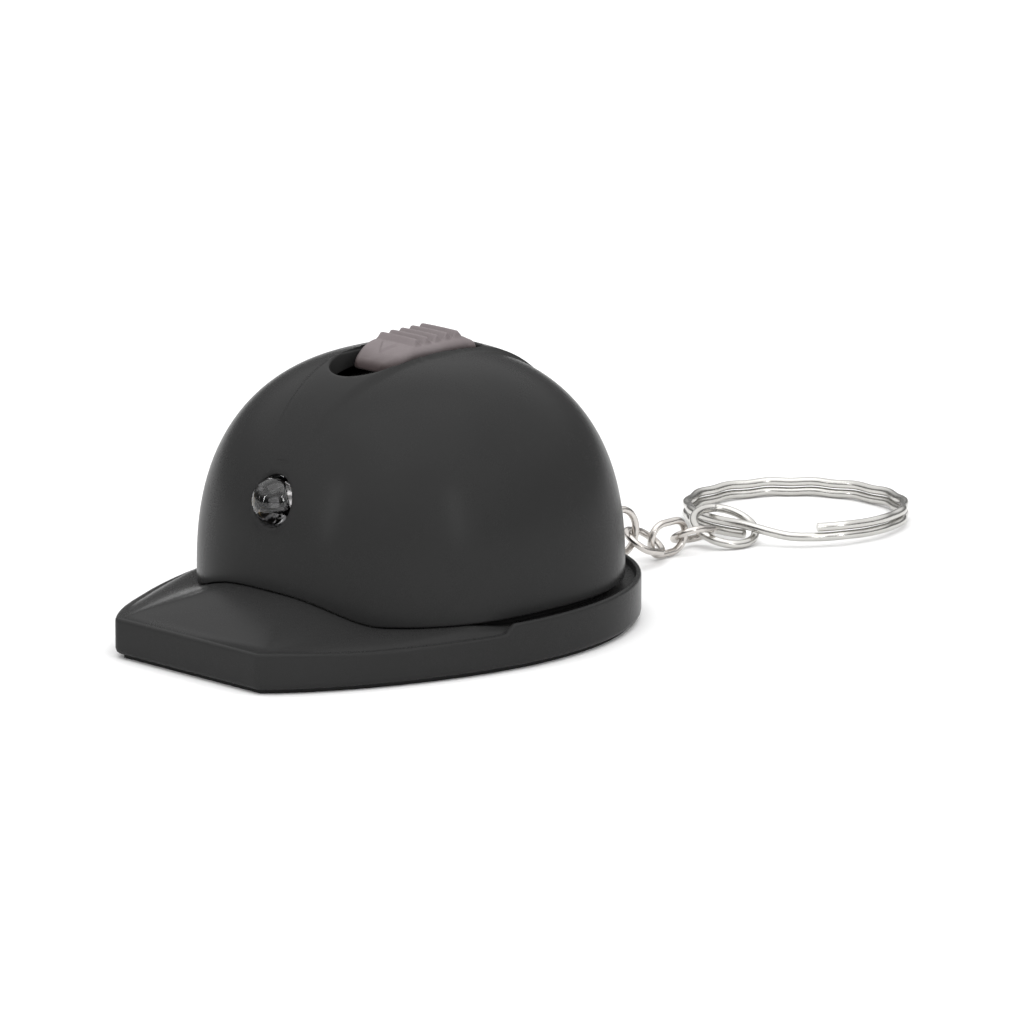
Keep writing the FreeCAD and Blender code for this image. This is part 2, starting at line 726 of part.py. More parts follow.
def make_split_ring():
    """Nearly two flat turns of wire, joined by a short crossing from the upper to the lower."""
    radius = size("split_round")
    pitch = size("split_pitch")
    wire = size("split_wire") / 2
    first = math.radians(326.5)
    cross_start = math.radians(641)
    cross_end = math.radians(679)
    last = math.radians(1007)
    steps = 130
    points = []
    for step in range(steps + 1):
        angle = first + (last - first) * step / steps
        share = min(max((angle - cross_start) / (cross_end - cross_start), 0.0), 1.0)
        level = pitch * (0.5 - share * share * (3 - 2 * share))
        points.append(Vector(radius * math.cos(angle), radius * math.sin(angle), level))
    path = Part.BSplineCurve()
    path.interpolate(points)
    spine = Part.Wire([path.toShape()])
    section = Part.Wire([Part.Circle(points[0], path.tangent(path.FirstParameter)[0], wire).toShape()])
    coil = solid("split_coil", spine.makePipeShell([section], True, True))
    finished(aimed(coil, *CHAIN["split_ring"]), "split_ring")


# ---------------------------------------------------------------- build, test and write

BASE_SCREWS = [(12.2, 12.0), (-12.2, 12.0), (12.2, -12.0), (-12.2, -12.0)]
CRADLE_SCREWS = [(0.0, -12.8), (0.0, 14.5)]

# centre, heading, dip and roll of each ring, hooked one into the next
CHAIN = {
    "chain_link_a": ((0.0, 31.6, 4.2), 0, 0, 90),
    "chain_link_b": ((0.1, 35.4, 2.6), 13, 15, 33),
    "chain_link_c": ((0.0, 39.2, 2.3), 1, 0, 96),
    "chain_link_d": ((-0.2, 43.5, 1.9), 10, 11, -27),
    "jump_ring": ((-0.4, 48.6, 1.9), -24, 6, 22),
    "split_ring": ((-1.7, 61.5, 1.4), -92, -1, -1),
}

for maker in (make_dome_shell, make_brim, make_base_plate, make_screws, make_button, make_carrier,
              make_leaf, make_bridge, make_strips, make_lamp, make_cells, make_cradle, make_contacts,
              make_chain, make_split_ring):
    maker()
doc.recompute()

for thing in doc.Objects:
    if "Invalid" in thing.State or "Error" in thing.State:
        raise RuntimeError("%s failed: %s" % (thing.Name, thing.State))

os.makedirs("parts", exist_ok=True)
for part in FINISHED:
    if part.Shape.isNull() or not part.Shape.isValid():
        raise RuntimeError(part.Label + " has no valid shape")
for part in FINISHED:
    part.Shape.exportStep("parts/%s.step" % part.Label)
    print(part.Label, round(part.Shape.Volume, 2), len(part.Shape.Solids))
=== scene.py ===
import math

import bmesh
import bpy
from mathutils import Matrix, Vector


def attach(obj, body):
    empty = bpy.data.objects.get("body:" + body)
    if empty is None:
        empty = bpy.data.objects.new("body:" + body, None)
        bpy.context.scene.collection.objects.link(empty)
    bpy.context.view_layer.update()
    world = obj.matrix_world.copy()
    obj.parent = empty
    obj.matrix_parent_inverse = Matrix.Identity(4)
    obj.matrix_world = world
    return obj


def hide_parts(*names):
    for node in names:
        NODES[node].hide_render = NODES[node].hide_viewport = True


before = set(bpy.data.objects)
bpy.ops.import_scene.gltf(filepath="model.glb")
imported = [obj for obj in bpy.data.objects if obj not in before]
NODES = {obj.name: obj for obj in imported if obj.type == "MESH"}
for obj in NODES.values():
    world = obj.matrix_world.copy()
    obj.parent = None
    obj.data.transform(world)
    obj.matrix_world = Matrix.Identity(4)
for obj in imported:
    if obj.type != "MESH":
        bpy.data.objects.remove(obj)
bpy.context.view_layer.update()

# Helmet-shaped key-ring light. Sizes below are in millimetres; meshes are in metres.
# +Z is up, the visor points along -Y and the chain leaves along +Y.

MM = 0.001

# ---------------------------------------------------------------- sizes

# the dome, its foot and the band along its crown
DOME_HALF = 21.0
DOME_FRONT = 21.8
DOME_REAR = 21.6
DOME_FOOT = 5.0
DOME_SHOULDER = 5.9
DOME_TOP = 29.9
DOME_POWER = 2.45
SHELL = 1.5
FOOT_ROUND = 0.42
ARCH_RISE = 2.3
ARCH_HALF = 14.0
CREST_RISE = 0.42
CREST_HALF = 4.35
CREST_FRONT = 19.0
CREST_REAR = 15.7
CREST_FADE = 5.0
CREST_SOFT = 0.3
CREST_TAPER = 0.17
CREST_TAPER_FROM = -8.5
FOOT_BLEND = 10

# the slot for the switch button
SLOT_HALF = 3.9
SLOT_FRONT = 10.4
SLOT_REAR = 7.2
SLOT_CORNER = 1.0
SLOT_DEPTH_TO = 20.0

# the brim, from its floor and rim to the neck inside the dome
BRIM_FLOOR = 0.45
BRIM_HALF = 23.1
BRIM_FRONT_HALF = 10.8
BRIM_FRONT = 32.9
BRIM_WAIST = -1.7
BRIM_REAR = 24.8
BRIM_POWER = 2.2
BRIM_FLARE = math.radians(44)
BRIM_CORNER = 1.3
LIP_TOP = 5.05
LIP_START = -7.6
LIP_BLEND = 0.6
GUTTER = 4.2
RIM_LOW = 3.98
RIM_LIFT = 0.34
RIM_LIFT_FROM = 22
VISOR_BULGE = 0.2
RIM_WIDTH = 0.8
FOOT_SPREAD = 0.25
VISOR_FROM = -10
SOFTEN_ROUNDS = 30
NECK_GAP = SHELL + 0.1
NECK_WALL = 1.2
NECK_TOP = 8.5
SEAT_SINK = 0.06
SEAT_FROM = -11.5
SEAT_RUN = 6.5
FLARE_PULL = 0.31
SMALLEST_CORNER = 0.15
PLATE_TOP = 1.4

# screw pillars under the dome
BASE_PILLAR_X = 12.2
BASE_PILLAR_Y = 12.0
BASE_PILLAR_RADIUS = 2.2
BASE_PILLAR_BORE = 0.9
BASE_PILLAR_DEPTH = 7.0
BRIDGE_PILLAR_X = 9.0
BRIDGE_PILLAR_FOOT = 23.0
BRIDGE_PILLAR_RADIUS = 2.0
BRIDGE_PILLAR_BORE = 0.8
BRIDGE_PILLAR_DEPTH = 2.6
PILLAR_ROOT = 0.3

# the tab that holds the chain
LUG_HOLE_Y = 29.0
LUG_HALF = 2.2
LUG_LOW = 3.5
LUG_HIGH = 5.0
LUG_ROOT = 24.2
LUG_HOLE = 0.9
LUG_MOUTH = 1.3
LUG_MOUTH_EDGE = 1.05
LUG_EDGE = 0.25

# the lamp's bore, seat and lens
LAMP_AXIS = 16.6
LAMP_DOME_Y = -19.9
LAMP_RADIUS = 2.5
LAMP_HOLE = 2.62
LAMP_SEAT = 4.2
LAMP_SEAT_Y = -18.8
LAMP_BORE_END = -15.0
FLANGE_RADIUS = 2.9
FLANGE_FRONT = -14.8
FLANGE_BACK = -13.8

# the switch button, its ridges and its arrow
BUTTON_HALF = 3.45
BUTTON_FRONT = -6.5
BUTTON_REAR = 6.8
BUTTON_FLOOR = 28.5
RIDGE_FIRST = -1.8
RIDGE_PITCH = 1.5
RIDGE_COUNT = 5
RIDGE_HALF = 2.85
RIDGE_TOP = 31.45
RIDGE_RISE = 0.62
RIDGE_BASE = 0.68
RIDGE_SLOPE = 0.56
RIDGE_END = 0.1
RIDGE_END_FADE = 0.35
RAMP_GAP = 0.7
TAIL_GAP = 0.3
BUTTON_CUP = 0.06
NOSE_DROP = 1.45
TAIL_DROP = 0.75
NOSE_LENGTH = 3.2
NOSE_PINCH = 0.72
TAIL_CORNER = 0.9
BUTTON_ROUND = 1.0
ARROW_BASE = -3.0
ARROW_TIP = -4.7
ARROW_HALF = 1.3
ARROW_EDGE = 0.16
ARROW_RISE = 0.2

# wires and rings of the chain
LINK_WIRE = 0.4
LINK_ROUND = 1.8
LINK_STRAIGHT = 0.9
HOOP_RADIUS = 2.55
JUMP_RADIUS = 3.5
JUMP_WIRE = 0.47
JUMP_PARTING = 0.018
SPLIT_RADIUS = 12.05
SPLIT_WIRE = 0.5
SPLIT_PITCH = 1.1
SPLIT_START = math.radians(326.5)
SPLIT_CROSS_FROM = math.radians(641)
SPLIT_CROSS_TO = math.radians(679)
SPLIT_END = math.radians(1007)
RIPPLE = 0.10
RIPPLE_COUNT = 15
RIPPLE_LIFT = 0.4

# centre, heading, dip and roll of each ring, hooked one into the next
LINKS = {
    "chain_link_a": ((0.0, 31.6, 4.2), 0, 0, 90),
    "chain_link_b": ((0.1, 35.4, 2.6), 13, 15, 33),
    "chain_link_c": ((0.0, 39.2, 2.3), 1, 0, 96),
    "chain_link_d": ((-0.2, 43.5, 1.9), 10, 11, -27),
    "jump_ring": ((-0.4, 48.6, 1.9), -24, 6, 22),
    "split_ring": ((-1.7, 61.5, 1.4), -92, -1, -1),
}

# ---------------------------------------------------------------- studio

CAMERA_AZIMUTH = math.radians(45.6)
CAMERA_ELEVATION = math.radians(14.4)
CAMERA_DISTANCE = 0.95
LENS = 313.9
AIM_RIGHT = 10.69
AIM_UP = 11.59
WORLD_STRENGTH = 1.3
FLOOR_HALF = 4


def towards(azimuth, elevation):
    """Direction from the light out to a place round it; azimuth 0 is straight in front of the visor."""
    return Vector((math.sin(azimuth) * math.cos(elevation), -math.cos(azimuth) * math.cos(elevation),
                   math.sin(elevation)))


def aim(thing, place, target):
    thing.location = place
    thing.rotation_euler = (target - place).to_track_quat("-Z", "Y").to_euler()


def make_camera():
    data = bpy.data.cameras.new("camera")
    data.lens = LENS
    data.sensor_width = 36
    data.clip_start = 0.01
    camera = bpy.data.objects.new("camera", data)
    bpy.context.scene.collection.objects.link(camera)
    right = Vector((math.cos(CAMERA_AZIMUTH), math.sin(CAMERA_AZIMUTH), 0))
    back = towards(CAMERA_AZIMUTH, CAMERA_ELEVATION)
    up = back.cross(right)
    target = right * AIM_RIGHT * MM + up * AIM_UP * MM
    aim(camera, back * CAMERA_DISTANCE, target)
    bpy.context.scene.camera = camera


def softbox(name, turn, elevation, distance, width, height, power):
    """An area light that faces the object, turned round it from the camera's side."""
    data = bpy.data.lights.new(name, "AREA")
    data.shape = "RECTANGLE"
    data.size = width
    data.size_y = height
    data.energy = power
    lamp = bpy.data.objects.new(name, data)
    bpy.context.scene.collection.objects.link(lamp)
    place = towards(CAMERA_AZIMUTH + math.radians(turn), math.radians(elevation)) * distance
    aim(lamp, place, Vector((0, 0.01, 0.012)))


def make_studio():
    scene = bpy.context.scene
    scene.view_settings.view_transform = "Standard"
    world = bpy.data.worlds.new("studio")
    world.use_nodes = True
    scene.world = world
    tree = world.node_tree
    background = tree.nodes["Background"]
    where = tree.nodes.new("ShaderNodeTexCoord")
    height = tree.nodes.new("ShaderNodeSeparateXYZ")
    ramp = tree.nodes.new("ShaderNodeValToRGB")
    stops = ((0.0, 0.80), (0.012, 0.80), (0.03, 0.10), (0.30, 0.18), (0.50, 0.90), (1.0, 1.05))
    ramp.color_ramp.elements.remove(ramp.color_ramp.elements[0])
    for number, (place, grey) in enumerate(stops):
        stop = ramp.color_ramp.elements[0] if number == 0 else ramp.color_ramp.elements.new(place)
        stop.position = place
        stop.color = (grey, grey, grey, 1)
    tree.links.new(where.outputs["Generated"], height.inputs[0])
    tree.links.new(height.outputs["Z"], ramp.inputs["Fac"])
    tree.links.new(ramp.outputs["Color"], background.inputs["Color"])
    background.inputs["Strength"].default_value = WORLD_STRENGTH

    softbox("left_strip", -58, 20, 0.7, 0.07, 0.30, 0.6)
    softbox("right_strip", 40, 20, 0.7, 0.07, 0.30, 0.6)
    softbox("overhead", 20, 80, 0.9, 1.1, 0.9, 3.0)

    shape = bmesh.new()
    bmesh.ops.create_grid(shape, x_segments=1, y_segments=1, size=FLOOR_HALF)
    mesh = bpy.data.meshes.new("floor")
    shape.to_mesh(mesh)
    shape.free()
    floor = bpy.data.objects.new("floor", mesh)
    scene.collection.objects.link(floor)
    white = bpy.data.materials.new("floor_white")
    white.use_nodes = True
    paper = white.node_tree.nodes["Principled BSDF"].inputs
    paper["Base Color"].default_value = (0.96, 0.96, 0.96, 1)
    paper["Roughness"].default_value = 0.9
    mesh.materials.append(white)


# ---------------------------------------------------------------- finishes

class Value:
    """A socket in a finish; adding or multiplying it, from either side, makes a Math node."""

    def __init__(self, finish, socket):
        self.finish = finish
        self.socket = socket

    def join(self, operation, first, second):
        return self.finish.node("ShaderNodeMath", {"operation": operation}, {0: first, 1: second})

    def __add__(self, other):
        return self.join("ADD", self, other)

    def __radd__(self, other):
        return self.join("ADD", other, self)

    def __mul__(self, other):
        return self.join("MULTIPLY", self, other)

    def __rmul__(self, other):
        return self.join("MULTIPLY", other, self)


class Finish:
    """A material built on one Principled shader."""

    def __init__(self, name, **constants):
        self.material = bpy.data.materials.new(name)
        self.material.use_nodes = True
        self.tree = self.material.node_tree
        self.shader = self.tree.nodes["Principled BSDF"]
        for socket, value in constants.items():
            self.shader.inputs[socket.replace("_", " ")].default_value = value

    def node(self, kind, settings=None, inputs=None, output=0):
        made = self.tree.nodes.new(kind)
        for name, setting in (settings or {}).items():
            if name == "stops":
                self.set_stops(made.color_ramp.elements, setting)
            else:
                setattr(made, name, setting)
        for name, value in (inputs or {}).items():
            self.feed(made.inputs[name], value)
        return Value(self, made.outputs[output])

    def set_stops(self, elements, stops):
        while len(elements) < len(stops):
            elements.new(1.0)
        for element, (place, colour) in zip(elements, stops):
            element.position = place
            element.color = (*colour, 1)

    def feed(self, socket, value):
        if isinstance(value, Value):
            self.tree.links.new(value.socket, socket)
        else:
            socket.default_value = value

    def set(self, socket, value):
        self.feed(self.shader.inputs[socket], value)

    def place(self):
        return self.node("ShaderNodeTexCoord", output="Object")

    def noise(self, scale, detail=3.0, roughness=0.55, stretch=None):
        """Noise over the piece; scale is in blobs per metre."""
        where = self.place()
        if stretch:
            where = self.node("ShaderNodeMapping", inputs={"Vector": where, "Scale": stretch})
        return self.node("ShaderNodeTexNoise", inputs={"Vector": where, "Scale": scale,
                                                        "Detail": detail, "Roughness": roughness})

    def tint(self, share, dark, light):
        return self.node("ShaderNodeValToRGB", {"stops": ((0.0, dark), (1.0, light))}, {"Fac": share})

    def bump(self, height, distance, strength=1.0, rounding=0.0):
        inputs = {"Height": height, "Distance": distance, "Strength": strength}
        if rounding:
            inputs["Normal"] = self.node("ShaderNodeBevel", {"samples": 6}, {"Radius": rounding})
        self.set("Normal", self.node("ShaderNodeBump", inputs=inputs))


def grey(value, warm=0.0):
    return (value * (1 + warm), value, value * (1 - 0.5 * warm))


def housing_finish():
    """Injection-moulded plastic, dark grey and glossy, with faint orange peel and handling haze."""
    finish = Finish("housing_plastic", IOR=1.46)
    finish.shader.inputs["Specular IOR Level"].default_value = 0.05
    haze = finish.noise(90, 4.0)
    peel = finish.noise(900, 2.0)
    grain = finish.noise(9000, 1.0)
    finish.set("Base Color", finish.tint(haze, grey(0.0262), grey(0.0302)))
    finish.set("Roughness", 0.20 + 0.10 * haze + 0.04 * grain)
    finish.bump(peel + 0.25 * grain, 0.02 * MM, 0.35, 0.2 * MM)
    return finish


def button_finish():
    """Satin warm-grey plastic with a fine moulded grain, and painted shade that darkens the button's lower
    part, down in the slot.
    """
    finish = Finish("button_plastic", IOR=1.46)
    finish.shader.inputs["Specular IOR Level"].default_value = 0.35
    cloud = finish.noise(420, 4.0)
    grain = finish.noise(7000, 2.0)
    level = finish.node("ShaderNodeSeparateXYZ", inputs={0: finish.place()}, output=2)
    # painted shade: below about 29.2 mm the colour falls to near black, where the button sinks into the
    # slot; full colour from 30.6 mm up
    slot_shade = finish.node("ShaderNodeMapRange", {"interpolation_type": "SMOOTHSTEP"},
                       {"Value": level + 0.5 * MM * cloud, "From Min": 29.2 * MM, "From Max": 30.6 * MM})
    plain = finish.tint(cloud, (0.165, 0.140, 0.143), (0.205, 0.178, 0.182))
    colour = finish.node("ShaderNodeMix", {"data_type": "RGBA"},
                         {"Factor": slot_shade, 6: (0.055, 0.040, 0.040, 1), 7: plain}, output=2)
    finish.set("Base Color", colour)
    finish.set("Roughness", 0.46 + 0.14 * grain)
    finish.bump(grain + 0.6 * cloud, 0.035 * MM, 0.5, 0.12 * MM)
    return finish


def nickel_finish(name, bright, rough):
    """Bright nickel plate over drawn wire: draw lines, small pits and soft polishing marks."""
    finish = Finish(name, Metallic=1.0)
    marks = finish.noise(1100, 3.0, 0.6, (1.0, 0.35, 1.0))
    pits = finish.noise(5200, 2.0)
    finish.set("Base Color", finish.tint(marks, tuple(0.86 * part for part in bright), bright))
    finish.set("Roughness", rough + 0.10 * marks + 0.05 * pits)
    finish.bump(marks + 0.4 * pits, 0.03 * MM, 0.45)
    return finish


def lens_finish():
    """Clear cast epoxy, slightly wavy."""
    finish = Finish("clear_epoxy", IOR=1.52, Roughness=0.02)
    finish.shader.inputs["Transmission Weight"].default_value = 1.0
    wave = finish.noise(700, 1.0)
    finish.set("Base Color", finish.tint(wave, (0.93, 0.93, 0.95), (0.99, 0.98, 0.99)))
    finish.set("Roughness", 0.01 + 0.03 * wave)
    finish.bump(wave, 0.01 * MM, 0.1)
    return finish


def metal_finish(name, dark, light, rough):
    """Rolled sheet or turned steel with fine lines along it."""
    finish = Finish(name, Metallic=1.0)
    lines = finish.noise(3500, 2.0, 0.6, (1.0, 0.15, 1.0))
    finish.set("Base Color", finish.tint(lines, dark, light))
    finish.set("Roughness", rough + 0.15 * lines)
    finish.bump(lines, 0.02 * MM, 0.4)
    return finish


def inner_finish(name, value, rough):
    """Plain moulded plastic used inside."""
    finish = Finish(name)
    cloud = finish.noise(600, 3.0)
    finish.set("Base Color", finish.tint(cloud, grey(0.8 * value), grey(value)))
    finish.set("Roughness", rough + 0.12 * cloud)
    finish.bump(cloud, 0.03 * MM, 0.4)
    return finish


# ---------------------------------------------------------------- shapes

def smooth(share):
    share = min(max(share, 0.0), 1.0)
    return share * share * (3 - 2 * share)


def signed_power(value, power):
    return math.copysign(abs(value) ** power, value)


def mix(first, second, share):
    return first + (second - first) * share


def circle(x, y, radius, steps=32):
    """Points round a circle, from the first axis towards the second."""
    angles = [2 * math.pi * step / steps for step in range(steps)]
    return [(x + radius * math.cos(angle), y + radius * math.sin(angle)) for angle in angles]


def ring_skin(rings, closed=False):
    """A skin through rings with equally many points: a circle, extruded from ring to ring."""
    shape = bmesh.new()
    verts = bmesh.ops.create_circle(shape, segments=len(rings[0]), radius=1.0)["verts"]
    for vert, point in zip(verts, rings[0]):
        vert.co = Vector(point) * MM
    edges = list(shape.edges)
    start = edges
    for ring in rings[1:]:
        order = {tuple(vert.co): number for number, vert in enumerate(verts)}
        made = bmesh.ops.extrude_edge_only(shape, edges=edges)["geom"]
        edges = [item for item in made if isinstance(item, bmesh.types.BMEdge)]
        fresh = [item for item in made if isinstance(item, bmesh.types.BMVert)]
        verts = sorted(fresh, key=lambda vert: order[tuple(vert.co)])
        for vert, point in zip(verts, ring):
            vert.co = Vector(point) * MM
    if closed:
        bmesh.ops.bridge_loops(shape, edges=start + edges)
    else:
        bmesh.ops.holes_fill(shape, edges=start + edges, sides=0)
    bmesh.ops.recalc_face_normals(shape, faces=shape.faces)
    return shape


def shade(mesh, sharp):
    """Smooth shading, with edges that turn by more than sharp degrees left crisp."""
    mesh.polygons.foreach_set("use_smooth", [True] * len(mesh.polygons))
    mesh.set_sharp_from_angle(angle=math.radians(sharp))
    return mesh


def as_mesh(shape, name, sharp=35):
    mesh = bpy.data.meshes.new(name)
    shape.to_mesh(mesh)
    shape.free()
    return shade(mesh, sharp)


def scratch_object(shape, name):
    """A bmesh as an object, for use as a cutter."""
    thing = bpy.data.objects.new(name, as_mesh(shape, name))
    bpy.context.scene.collection.objects.link(thing)
    return thing


def carve(mesh, cutters, name):
    """The mesh with the cutters taken away."""
    body = bpy.data.objects.new(name, mesh)
    bpy.context.scene.collection.objects.link(body)
    for cutter in cutters:
        step = body.modifiers.new("cut", "BOOLEAN")
        step.operation = "DIFFERENCE"
        step.solver = "EXACT"
        step.object = cutter
    result = bpy.data.meshes.new_from_object(body.evaluated_get(bpy.context.evaluated_depsgraph_get()))
    for thing in (body, *cutters):
        bpy.data.objects.remove(thing)
    return shade(result, 32)


def add_piece(name, mesh, body, finish, nodes=()):
    mesh.materials.clear()
    mesh.materials.append(finish.material)
    piece = bpy.data.objects.new(name, mesh)
    bpy.context.scene.collection.objects.link(piece)
    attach(piece, body)
    if nodes:
        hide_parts(*nodes)


# ---------------------------------------------------------------- dome

def crest(x, y):
    """Rise of the band along the crown; it narrows and fades towards the lamp."""
    half = CREST_HALF - CREST_TAPER * max(0.0, CREST_TAPER_FROM - y)
    side = smooth((half + CREST_SOFT - abs(x)) / (2 * CREST_SOFT))
    front = smooth((y + CREST_FRONT) / CREST_FADE)
    rear = smooth((CREST_REAR + CREST_SOFT - y) / (2 * CREST_SOFT))
    return CREST_RISE * side * front * rear


def dome_share(level, top):
    """How much of its plan the dome keeps at one height."""
    rise = max(level - DOME_SHOULDER, 0.0) / (top - DOME_SHOULDER)
    return max(1 - rise ** DOME_POWER, 0.0) ** (1 / DOME_POWER)


def dome_height(x, y):
    reach = DOME_REAR if y > 0 else DOME_FRONT
    plan = abs(x / DOME_HALF) ** DOME_POWER + abs(y / reach) ** DOME_POWER
    height = (DOME_TOP - DOME_SHOULDER) * max(1 - plan, 0.0) ** (1 / DOME_POWER)
    return DOME_SHOULDER + height + crest(x, y)


def dome_face(x, z):
    """The y of the dome's front at one place."""
    plan = abs(x / DOME_HALF) ** DOME_POWER
    plan += (max(z - DOME_SHOULDER, 0.0) / (DOME_TOP - DOME_SHOULDER)) ** DOME_POWER
    return -DOME_FRONT * max(1 - plan, 0.0) ** (1 / DOME_POWER)


def arch(x):
    """Rise of the dome's foot over the visor."""
    share = min(abs(x) / ARCH_HALF, 1.0)
    return ARCH_RISE * (1 - share ** 3) ** 2


def oval(turn, inset):
    """A point of the dome's plan; turn 0 is +X, a quarter turn is +Y."""
    power = 2 / DOME_POWER
    angle = 2 * math.pi * turn
    reach = DOME_REAR if math.sin(angle) > 0 else DOME_FRONT
    return ((DOME_HALF - inset) * signed_power(math.cos(angle), power),
            (reach - inset) * signed_power(math.sin(angle), power))


def dome_ring(level, inset, draw_in=0.0):
    """One ring of the dome, which lifts over the visor near the foot."""
    around = 360
    points = []
    for step in range(around):
        x, y = oval(step / around, inset)
        lift = arch(x) if y < 0 else 0.0
        height = level + lift * (1 - smooth((level - DOME_FOOT) / FOOT_BLEND))
        share = dome_share(height, DOME_TOP - inset) * (1 - draw_in / DOME_HALF)
        x *= share
        y *= share
        points.append((x, y, height + (0 if inset else crest(x, y))))
    return points


def dome_levels(top):
    steps = 66
    last = 0.985
    levels = []
    for step in range(steps):
        angle = 0.5 * math.pi * last * (step + 1) / steps
        levels.append(DOME_SHOULDER + (top - DOME_SHOULDER) * math.sin(angle) ** (2 / DOME_POWER))
    return levels


def slot_outline(grow):
    """The switch slot seen from above: a round nose in front, small corners behind."""
    steps = 40
    points = []
    for step in range(steps):
        angle = math.pi * step / steps
        points.append(((SLOT_HALF + grow) * -math.cos(angle),
                       SLOT_HALF - SLOT_FRONT - (SLOT_HALF + grow) * math.sin(angle)))
    for side, first in ((1, 0.0), (-1, 0.5)):
        for step in range(13):
            angle = math.pi * (first + 0.5 * step / 12)
            points.append((side * (SLOT_HALF - SLOT_CORNER) + (SLOT_CORNER + grow) * math.cos(angle),
                           SLOT_REAR - SLOT_CORNER + (SLOT_CORNER + grow) * math.sin(angle)))
    return points


def slot_cutter():
    """A cutter with a rounded mouth that follows the crown."""
    rings = []
    for grow, sink in ((0.5, -3.0), (0.34, -0.03), (0.2, 0.03), (0.07, 0.14), (0.0, 0.32)):
        rings.append([(x, y, dome_height(x, y) - sink) for x, y in slot_outline(grow)])
    rings.append([(x, y, SLOT_DEPTH_TO) for x, y in slot_outline(0.0)])
    return scratch_object(ring_skin(rings), "slot_cutter")


def lamp_cutter():
    """A bore with a rounded mouth that follows the dome's front."""
    steps = 72
    rings = []
    for grow, sink in ((0.9, -3.0), (0.55, -0.03), (0.3, 0.06), (0.12, 0.2), (0.0, 0.45)):
        mouth = circle(0.0, LAMP_AXIS, LAMP_HOLE + grow, steps)
        rings.append([(x, dome_face(x, z) + sink, z) for x, z in mouth])
    rings.append([(x, LAMP_BORE_END, z) for x, y, z in rings[-1]])
    return scratch_object(ring_skin(rings), "lamp_cutter")


def make_dome(finish):
    inner_top = DOME_TOP - SHELL
    rings = [dome_ring(level, 0.0) for level in reversed(dome_levels(DOME_TOP))]
    for rise, draw_in in ((FOOT_ROUND, 0.0), (0.16, 0.06), (0.05, 0.18), (0.0, 0.4)):
        rings.append(dome_ring(DOME_FOOT + rise, 0.0, draw_in))
    rings.append(dome_ring(DOME_FOOT, SHELL))
    rings += [dome_ring(level, SHELL) for level in dome_levels(inner_top)[::3]]
    mesh = as_mesh(ring_skin(rings), "dome_blank")
    mesh = carve(mesh, [slot_cutter(), lamp_cutter()], "dome_blank")
    add_piece("dome", mesh, "helmet", finish, ["dome_shell"])

    steps = 48
    seat = []
    for radius, y in ((LAMP_SEAT, LAMP_SEAT_Y), (LAMP_SEAT, FLANGE_FRONT),
                      (LAMP_HOLE, FLANGE_FRONT), (LAMP_HOLE, LAMP_SEAT_Y)):
        seat.append([(x, y, z) for x, z in circle(0.0, LAMP_AXIS, radius, steps)])
    add_piece("lamp_seat", as_mesh(ring_skin(seat, True), "lamp_seat"), "helmet", finish)


def add_pillar(name, x, y, foot, radius, bore, depth, finish):
    """A screw pillar that hangs from the inside of the dome, with its bore open below."""
    rings = [[(px, py, foot + depth) for px, py in circle(x, y, bore)],
             [(px, py, foot) for px, py in circle(x, y, bore)],
             [(px, py, foot) for px, py in circle(x, y, radius)],
             [(px, py, dome_height(px, py) - SHELL + PILLAR_ROOT) for px, py in circle(x, y, radius)]]
    add_piece(name, as_mesh(ring_skin(rings), name), "helmet", finish)


def make_pillars(finish):
    for corner, (across, along) in enumerate(((1, 1), (-1, 1), (1, -1), (-1, -1)), start=1):
        add_pillar("base_pillar_%d" % corner, BASE_PILLAR_X * across, BASE_PILLAR_Y * along, PLATE_TOP,
                   BASE_PILLAR_RADIUS, BASE_PILLAR_BORE, BASE_PILLAR_DEPTH, finish)
    for name, side in (("left", -1), ("right", 1)):
        add_pillar("bridge_pillar_" + name, BRIDGE_PILLAR_X * side, 0.0, BRIDGE_PILLAR_FOOT,
                   BRIDGE_PILLAR_RADIUS, BRIDGE_PILLAR_BORE, BRIDGE_PILLAR_DEPTH, finish)


# ---------------------------------------------------------------- brim

SLOPE_STEPS = 9
FIRST_SLOPE_RING = 16
RUNS = (("line", 44), ("corner", 9), ("side", 64), ("rear", 128), ("side", 64), ("corner", 9))
NECK_TURNS = (0.712, 0.788, 0.86, 1.0, 1.5, 1.64, 1.712)


def brim_outline(inset):
    """The brim's plan: straight front, small corners, flared sides and a round rear."""
    mitre = (1 - math.sin(BRIM_FLARE)) / math.cos(BRIM_FLARE)
    radius = max(BRIM_CORNER - inset, SMALLEST_CORNER)
    half = BRIM_FRONT_HALF - inset * mitre
    front = BRIM_FRONT - inset
    wide = BRIM_HALF - inset
    rear = BRIM_REAR - inset
    cut_back = radius * mitre
    handle = FLARE_PULL * (front + BRIM_WAIST)
    poles = ((half + cut_back * math.sin(BRIM_FLARE), cut_back * math.cos(BRIM_FLARE) - front),
             (half + handle * math.sin(BRIM_FLARE), handle * math.cos(BRIM_FLARE) - front),
             (wide, BRIM_WAIST - handle), (wide, BRIM_WAIST))

    def line(share):
        return (half - cut_back) * (2 * share - 1), -front

    def corner(share):
        angle = mix(-0.5 * math.pi, -BRIM_FLARE, share)
        return half - cut_back + radius * math.cos(angle), radius - front + radius * math.sin(angle)

    def side(share):
        weights = ((1 - share) ** 3, 3 * share * (1 - share) ** 2, 3 * share ** 2 * (1 - share), share ** 3)
        return tuple(sum(weight * pole[axis] for weight, pole in zip(weights, poles)) for axis in (0, 1))

    def back(share):
        power = 2 / BRIM_POWER
        return (wide * signed_power(math.cos(math.pi * share), power),
                BRIM_WAIST + (rear - BRIM_WAIST) * signed_power(math.sin(math.pi * share), power))

    points = []
    for number, (kind, count) in enumerate(RUNS):
        for step in range(count):
            share = step / count
            if number < 3:
                points.append({"line": line, "corner": corner, "side": side}[kind](share))
            elif kind == "rear":
                points.append(back(share))
            else:
                x, y = {"corner": corner, "side": side}[kind](1 - share)
                points.append((-x, y))
    return points


